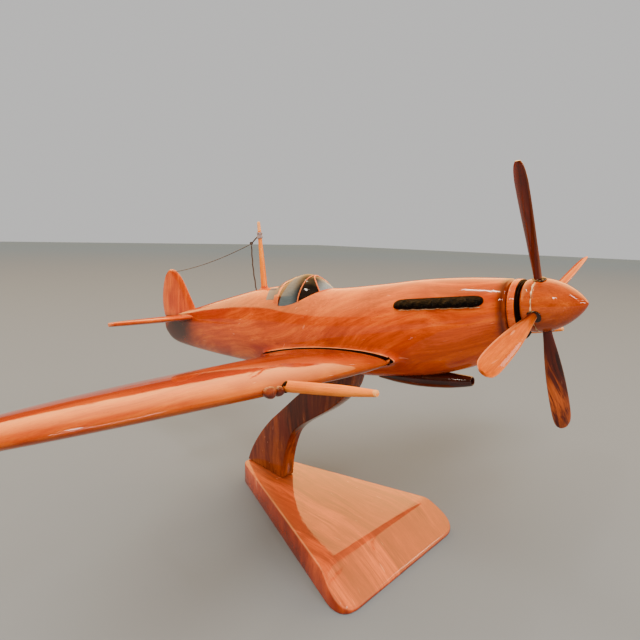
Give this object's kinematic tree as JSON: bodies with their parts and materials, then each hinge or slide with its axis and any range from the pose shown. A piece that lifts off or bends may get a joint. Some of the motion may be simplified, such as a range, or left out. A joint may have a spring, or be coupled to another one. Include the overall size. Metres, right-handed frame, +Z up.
{
  "type": "carved wooden model aircraft on a stand",
  "caption": "Carved, varnished hardwood desk model of a single-engine low-wing propeller fighter, nose up on a curved arm and wedge base, with a turning propeller.",
  "frame": {"origin": "centre of the base's underside, under the model", "axes": "+X towards the nose, +Y to the model's port side, +Z up"},
  "size_m": [0.2989, 0.3428, 0.1813],
  "materials": {
    "mahogany": "glossy varnish",
    "dark_mahogany": "glossy varnish",
    "blade_wood": "glossy varnish",
    "pale_wood": "satin",
    "black_lacquer": "black gloss lacquer on wood",
    "maroon_lacquer": "dark maroon gloss lacquer on wood",
    "steel": "plain steel",
    "brass": "plain brass",
    "thread": "waxed thread"
  },
  "bodies": {
    "stand": {"stand_base": "mahogany", "stand_arm": "dark_mahogany", "stand_peg": "pale_wood", "stand_screw_1": "steel", "stand_screw_2": "steel"},
    "airframe": {"fuselage": "mahogany", "nose_ring": "mahogany", "windscreen": "black_lacquer", "canopy_hood": "black_lacquer", "intake_scoop": "maroon_lacquer", "fin_and_rudder": "mahogany", "fin_dowel_1": "pale_wood", "fin_dowel_2": "pale_wood", "tailplane_dowel": "pale_wood", "radio_mast": "pale_wood", "mast_tie": "thread", "aerial_wire": "thread", "aerial_lead_in": "thread", "wing_starboard": "mahogany", "wing_port": "mahogany", "wing_dowel_starboard_1": "pale_wood", "wing_dowel_starboard_2": "pale_wood", "wing_dowel_port_1": "pale_wood", "wing_dowel_port_2": "pale_wood", "cannon_starboard": "pale_wood", "cannon_port": "pale_wood", "gun_stub_starboard": "mahogany", "gun_stub_port": "mahogany", "exhaust_starboard": "black_lacquer", "exhaust_port": "black_lacquer", "tailplane_starboard": "mahogany", "tailplane_port": "mahogany", "propeller_pin": "steel", "propeller_washer": "brass"},
    "propeller": {"spinner_plate": "mahogany", "spinner_cone": "mahogany", "blade_1": "blade_wood", "blade_2": "blade_wood", "blade_3": "blade_wood", "blade_4": "blade_wood"}
  },
  "joints": [
    {"name": "airframe_lift", "type": "slide", "parent": "stand", "child": "airframe", "axis": [0, 0, 1], "range_m": [0, 0.03]},
    {"name": "propeller_spin", "type": "hinge", "parent": "airframe", "child": "propeller", "pos_m": [0.1075, 0, 0.133], "axis": [0.988, 0, 0.1547], "continuous": true}
  ]
}
